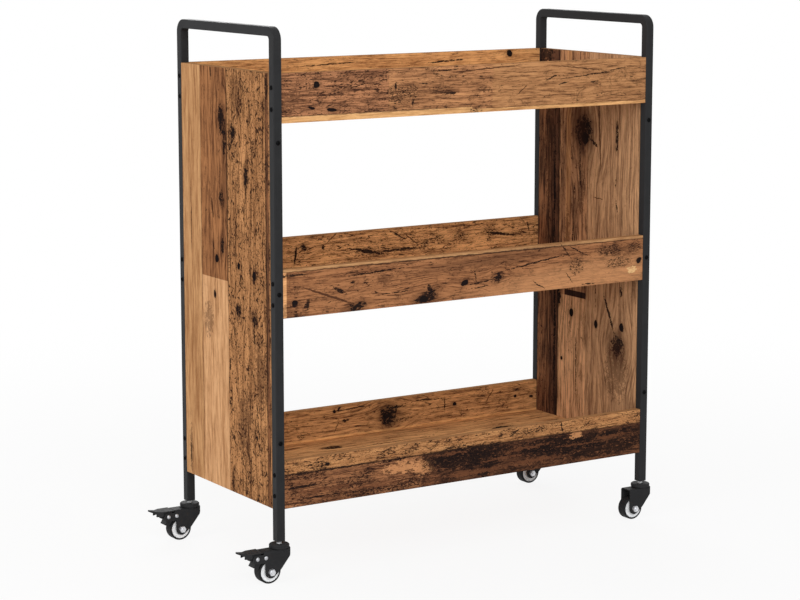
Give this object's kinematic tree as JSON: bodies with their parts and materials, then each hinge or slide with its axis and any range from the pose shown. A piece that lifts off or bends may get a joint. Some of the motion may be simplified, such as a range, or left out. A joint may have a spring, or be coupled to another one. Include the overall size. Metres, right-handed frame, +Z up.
{
  "type": "kitchen cart",
  "caption": "Narrow rolling kitchen cart: bent square-tube end frames, board side panels, railed tray shelves, and swivel casters with foot brakes at one end.",
  "frame": {"origin": "on the floor, under the middle of the bounding box of the cart with its casters trailing to -X", "axes": "+X along the cart from the braked end to the other end, +Y from front to back, +Z up"},
  "size_m": [0.832, 0.3466, 0.885],
  "materials": {
    "powder_coat": "matte black powder coat on steel",
    "laminate": "reclaimed-plank decor laminate on board",
    "beech": "plain fluted dowel wood",
    "black_screw": "black oxide steel",
    "black_plastic": "moulded black plastic",
    "zinc": "bright zinc plate",
    "rim_plastic": "light grey moulded nylon",
    "black_rubber": "smooth black rubber tread"
  },
  "bodies": {
    "cart": {"left_frame": "powder_coat", "right_frame": "powder_coat", "left_side_panel": "laminate", "right_side_panel": "laminate", "top_shelf": "laminate", "middle_shelf": "laminate", "bottom_shelf": "laminate", "top_front_rail": "laminate", "top_back_rail": "laminate", "middle_front_rail": "laminate", "middle_back_rail": "laminate", "bottom_front_rail": "laminate", "bottom_back_rail": "laminate", "rail_screws": "black_screw", "panel_screws": "black_screw", "dowels": "beech", "cam_bolts": "zinc", "cam_locks": "zinc", "leg_plugs": "black_plastic", "plug_bushes": "zinc", "bearing_balls": "zinc", "front_left_stem": "zinc", "front_left_bearing_cap": "black_plastic", "back_left_stem": "zinc", "back_left_bearing_cap": "black_plastic", "front_right_stem": "zinc", "front_right_bearing_cap": "black_plastic", "back_right_stem": "zinc", "back_right_bearing_cap": "black_plastic"},
    "front_left_caster": {"front_left_fork": "powder_coat", "front_left_axle_bolt": "zinc", "front_left_axle_nut": "zinc", "front_left_pedal_pin": "zinc", "front_left_shoe_pin": "zinc"},
    "front_left_wheel": {"front_left_wheel_core": "rim_plastic", "front_left_tyre": "black_rubber"},
    "front_left_brake_pedal": {"front_left_pedal": "powder_coat"},
    "front_left_brake_shoe": {"front_left_brake_shoe": "black_plastic"},
    "back_left_caster": {"back_left_fork": "powder_coat", "back_left_axle_bolt": "zinc", "back_left_axle_nut": "zinc", "back_left_pedal_pin": "zinc", "back_left_shoe_pin": "zinc"},
    "back_left_wheel": {"back_left_wheel_core": "rim_plastic", "back_left_tyre": "black_rubber"},
    "back_left_brake_pedal": {"back_left_pedal": "powder_coat"},
    "back_left_brake_shoe": {"back_left_brake_shoe": "black_plastic"},
    "front_right_caster": {"front_right_fork": "powder_coat", "front_right_axle_bolt": "zinc", "front_right_axle_nut": "zinc"},
    "front_right_wheel": {"front_right_wheel_core": "rim_plastic", "front_right_tyre": "black_rubber"},
    "back_right_caster": {"back_right_fork": "powder_coat", "back_right_axle_bolt": "zinc", "back_right_axle_nut": "zinc"},
    "back_right_wheel": {"back_right_wheel_core": "rim_plastic", "back_right_tyre": "black_rubber"}
  },
  "joints": [
    {"name": "front_left_swivel", "type": "hinge", "parent": "cart", "child": "front_left_caster", "pos_m": [-0.337, -0.15275, 0.05], "axis": [0, 0, 1], "continuous": true},
    {"name": "front_left_wheel_spin", "type": "hinge", "parent": "front_left_caster", "child": "front_left_wheel", "pos_m": [-0.359, -0.15275, 0.02], "axis": [0, 1, 0], "continuous": true},
    {"name": "front_left_pedal_press", "type": "hinge", "parent": "front_left_caster", "child": "front_left_brake_pedal", "pos_m": [-0.3833, -0.15275, 0.0443], "axis": [0, -1, 0], "range_deg": [0, 20]},
    {"name": "front_left_shoe_turn", "type": "hinge", "parent": "front_left_caster", "child": "front_left_brake_shoe", "pos_m": [-0.368, -0.15275, 0.0443], "axis": [0, -1, 0], "range_deg": [0, 6.5]},
    {"name": "back_left_swivel", "type": "hinge", "parent": "cart", "child": "back_left_caster", "pos_m": [-0.337, 0.15625, 0.05], "axis": [0, 0, 1], "continuous": true},
    {"name": "back_left_wheel_spin", "type": "hinge", "parent": "back_left_caster", "child": "back_left_wheel", "pos_m": [-0.359, 0.15625, 0.02], "axis": [0, 1, 0], "continuous": true},
    {"name": "back_left_pedal_press", "type": "hinge", "parent": "back_left_caster", "child": "back_left_brake_pedal", "pos_m": [-0.3833, 0.15625, 0.0443], "axis": [0, -1, 0], "range_deg": [0, 20]},
    {"name": "back_left_shoe_turn", "type": "hinge", "parent": "back_left_caster", "child": "back_left_brake_shoe", "pos_m": [-0.368, 0.15625, 0.0443], "axis": [0, -1, 0], "range_deg": [0, 6.5]},
    {"name": "front_right_swivel", "type": "hinge", "parent": "cart", "child": "front_right_caster", "pos_m": [0.398, -0.15275, 0.05], "axis": [0, 0, 1], "continuous": true},
    {"name": "front_right_wheel_spin", "type": "hinge", "parent": "front_right_caster", "child": "front_right_wheel", "pos_m": [0.376, -0.15275, 0.02], "axis": [0, 1, 0], "continuous": true},
    {"name": "back_right_swivel", "type": "hinge", "parent": "cart", "child": "back_right_caster", "pos_m": [0.398, 0.15625, 0.05], "axis": [0, 0, 1], "continuous": true},
    {"name": "back_right_wheel_spin", "type": "hinge", "parent": "back_right_caster", "child": "back_right_wheel", "pos_m": [0.376, 0.15625, 0.02], "axis": [0, 1, 0], "continuous": true}
  ],
  "couplings": [
    {"joint": "front_left_shoe_turn", "follows": "front_left_pedal_press", "ratio": 0.325},
    {"joint": "back_left_shoe_turn", "follows": "back_left_pedal_press", "ratio": 0.325}
  ]
}
